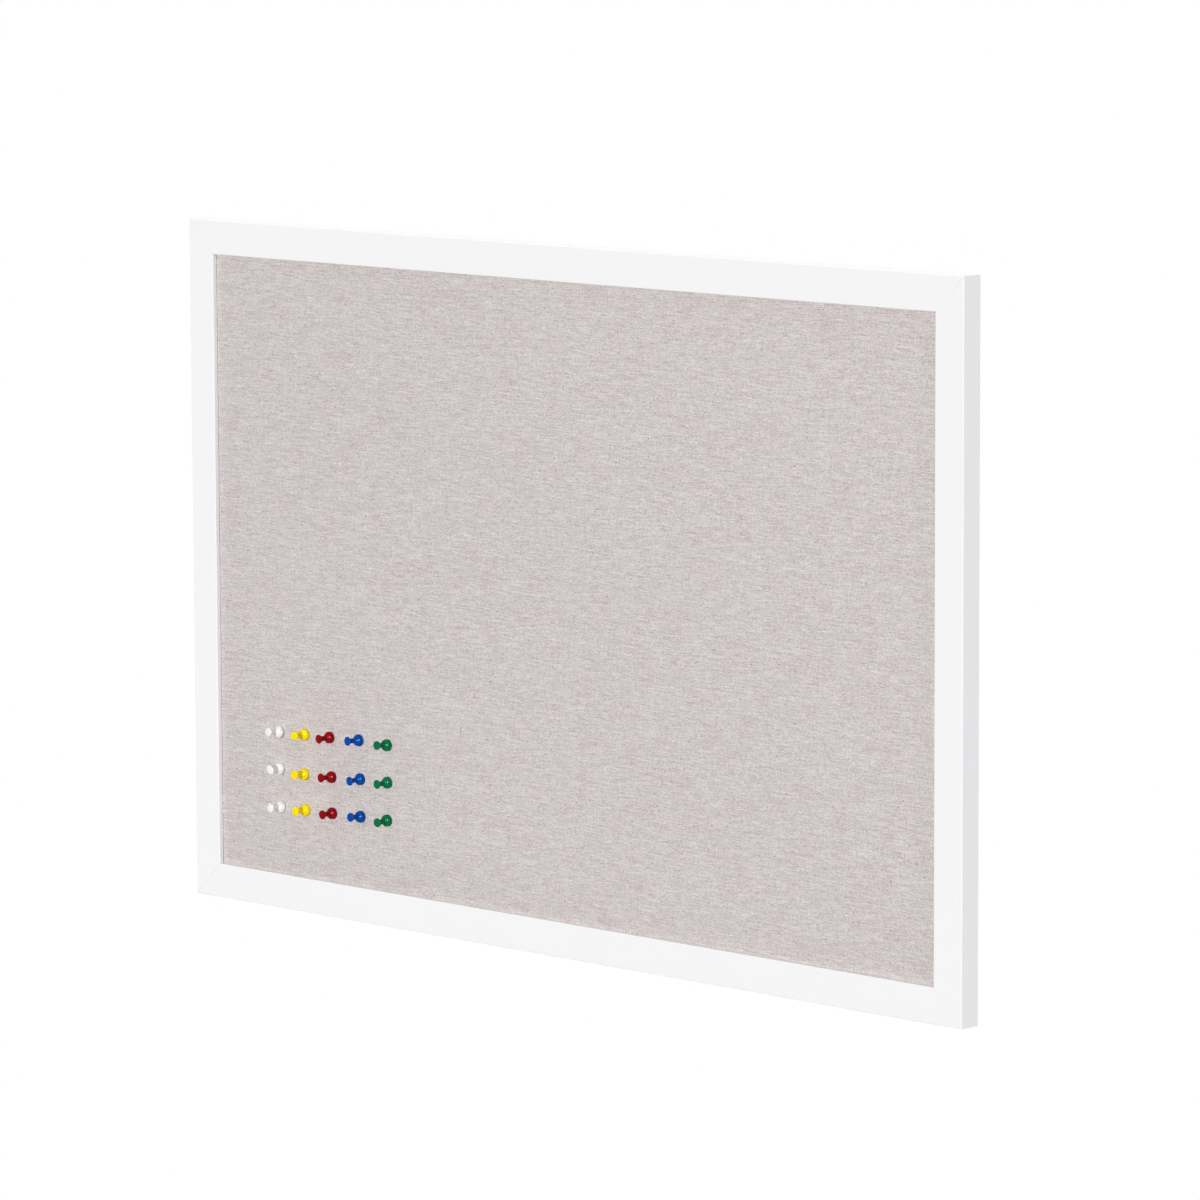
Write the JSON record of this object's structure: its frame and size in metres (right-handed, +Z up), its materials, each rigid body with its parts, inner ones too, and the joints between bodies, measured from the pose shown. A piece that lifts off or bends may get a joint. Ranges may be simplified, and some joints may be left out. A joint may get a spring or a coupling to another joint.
{
  "type": "bulletin board",
  "caption": "Framed bulletin board: linen over a soft pin panel in a mitred white frame, with push pins on its front and ring hangers and bumpers on its back.",
  "frame": {"origin": "on the wall plane, midway between the two points where the rings hang on their hooks", "axes": "+X to the right seen from the front, +Y from the front towards the wall, +Z up"},
  "size_m": [0.762, 0.0308, 0.508],
  "materials": {
    "white_paint": "satin",
    "linen": "matte",
    "soft_board": "matte",
    "hard_board": "matte",
    "zinc_steel": "satin",
    "bright_steel": "gloss",
    "rubber": "satin",
    "white_plastic": "gloss",
    "yellow_plastic": "gloss",
    "red_plastic": "gloss",
    "blue_plastic": "gloss",
    "green_plastic": "gloss"
  },
  "bodies": {
    "board": {"top_rail": "white_paint", "right_stile": "white_paint", "bottom_rail": "white_paint", "left_stile": "white_paint", "linen_cloth": "linen", "core_board": "soft_board", "backing_panel": "hard_board", "left_hanger_strap": "zinc_steel", "left_hanger_screw": "zinc_steel", "right_hanger_strap": "zinc_steel", "right_hanger_screw": "zinc_steel", "retainer_point_1": "zinc_steel", "retainer_point_2": "zinc_steel", "retainer_point_3": "zinc_steel", "retainer_point_4": "zinc_steel", "retainer_point_5": "zinc_steel", "retainer_point_6": "zinc_steel", "retainer_point_7": "zinc_steel", "retainer_point_8": "zinc_steel", "corner_nail_top_left": "bright_steel", "corner_nail_top_right": "bright_steel", "corner_nail_bottom_right": "bright_steel", "corner_nail_bottom_left": "bright_steel", "wall_bumper_top_left": "rubber", "wall_bumper_top_right": "rubber", "wall_bumper_bottom_right": "rubber", "wall_bumper_bottom_left": "rubber"},
    "left_ring": {"left_hanger_ring": "zinc_steel"},
    "right_ring": {"right_hanger_ring": "zinc_steel"},
    "white_pin_1": {"white_pin_1_handle": "white_plastic", "white_pin_1_needle": "bright_steel"},
    "white_pin_2": {"white_pin_2_handle": "white_plastic", "white_pin_2_needle": "bright_steel"},
    "white_pin_3": {"white_pin_3_handle": "white_plastic", "white_pin_3_needle": "bright_steel"},
    "yellow_pin_1": {"yellow_pin_1_handle": "yellow_plastic", "yellow_pin_1_needle": "bright_steel"},
    "yellow_pin_2": {"yellow_pin_2_handle": "yellow_plastic", "yellow_pin_2_needle": "bright_steel"},
    "yellow_pin_3": {"yellow_pin_3_handle": "yellow_plastic", "yellow_pin_3_needle": "bright_steel"},
    "red_pin_1": {"red_pin_1_handle": "red_plastic", "red_pin_1_needle": "bright_steel"},
    "red_pin_2": {"red_pin_2_handle": "red_plastic", "red_pin_2_needle": "bright_steel"},
    "red_pin_3": {"red_pin_3_handle": "red_plastic", "red_pin_3_needle": "bright_steel"},
    "blue_pin_1": {"blue_pin_1_handle": "blue_plastic", "blue_pin_1_needle": "bright_steel"},
    "blue_pin_2": {"blue_pin_2_handle": "blue_plastic", "blue_pin_2_needle": "bright_steel"},
    "blue_pin_3": {"blue_pin_3_handle": "blue_plastic", "blue_pin_3_needle": "bright_steel"},
    "green_pin_1": {"green_pin_1_handle": "green_plastic", "green_pin_1_needle": "bright_steel"},
    "green_pin_2": {"green_pin_2_handle": "green_plastic", "green_pin_2_needle": "bright_steel"},
    "green_pin_3": {"green_pin_3_handle": "green_plastic", "green_pin_3_needle": "bright_steel"}
  },
  "joints": [
    {"name": "left_ring_turn", "type": "hinge", "parent": "board", "child": "left_ring", "pos_m": [-0.3695, -0.00295, -0.0095], "axis": [-1, 0, 0], "range_deg": [-5, 173]},
    {"name": "right_ring_turn", "type": "hinge", "parent": "board", "child": "right_ring", "pos_m": [0.3695, -0.00295, -0.0095], "axis": [-1, 0, 0], "range_deg": [-5, 173]},
    {"name": "white_pin_1_pull", "type": "slide", "parent": "board", "child": "white_pin_1", "axis": [-0.052, -0.9932, 0.1044], "range_m": [0, 0.014]},
    {"name": "white_pin_2_pull", "type": "slide", "parent": "board", "child": "white_pin_2", "axis": [0.0697, -0.9962, 0.0522], "range_m": [0, 0.014]},
    {"name": "white_pin_3_pull", "type": "slide", "parent": "board", "child": "white_pin_3", "axis": [-0.0174, -0.9992, 0.0349], "range_m": [0, 0.014]},
    {"name": "yellow_pin_1_pull", "type": "slide", "parent": "board", "child": "yellow_pin_1", "axis": [0.0174, -0.9992, 0.0349], "range_m": [0, 0.014]},
    {"name": "yellow_pin_2_pull", "type": "slide", "parent": "board", "child": "yellow_pin_2", "axis": [0.0348, -0.997, 0.0697], "range_m": [0, 0.014]},
    {"name": "yellow_pin_3_pull", "type": "slide", "parent": "board", "child": "yellow_pin_3", "axis": [0.0174, -0.9992, 0.0349], "range_m": [0, 0.014]},
    {"name": "red_pin_1_pull", "type": "slide", "parent": "board", "child": "red_pin_1", "axis": [-0.0523, -0.9985, -0.0174], "range_m": [0, 0.014]},
    {"name": "red_pin_2_pull", "type": "slide", "parent": "board", "child": "red_pin_2", "axis": [-0.0349, -0.998, 0.0523], "range_m": [0, 0.014]},
    {"name": "red_pin_3_pull", "type": "slide", "parent": "board", "child": "red_pin_3", "axis": [0.0523, -0.9985, 0.0174], "range_m": [0, 0.014]},
    {"name": "blue_pin_1_pull", "type": "slide", "parent": "board", "child": "blue_pin_1", "axis": [-0.0871, -0.9956, 0.0348], "range_m": [0, 0.014]},
    {"name": "blue_pin_2_pull", "type": "slide", "parent": "board", "child": "blue_pin_2", "axis": [-0.0349, -0.9988, -0.0349], "range_m": [0, 0.014]},
    {"name": "blue_pin_3_pull", "type": "slide", "parent": "board", "child": "blue_pin_3", "axis": [0.0348, -0.9956, 0.0871], "range_m": [0, 0.014]},
    {"name": "green_pin_1_pull", "type": "slide", "parent": "board", "child": "green_pin_1", "axis": [0.0347, -0.9939, 0.1045], "range_m": [0, 0.014]},
    {"name": "green_pin_2_pull", "type": "slide", "parent": "board", "child": "green_pin_2", "axis": [-0.0175, -0.9997, -0.0175], "range_m": [0, 0.014]},
    {"name": "green_pin_3_pull", "type": "slide", "parent": "board", "child": "green_pin_3", "axis": [0.0523, -0.998, -0.0349], "range_m": [0, 0.014]}
  ]
}
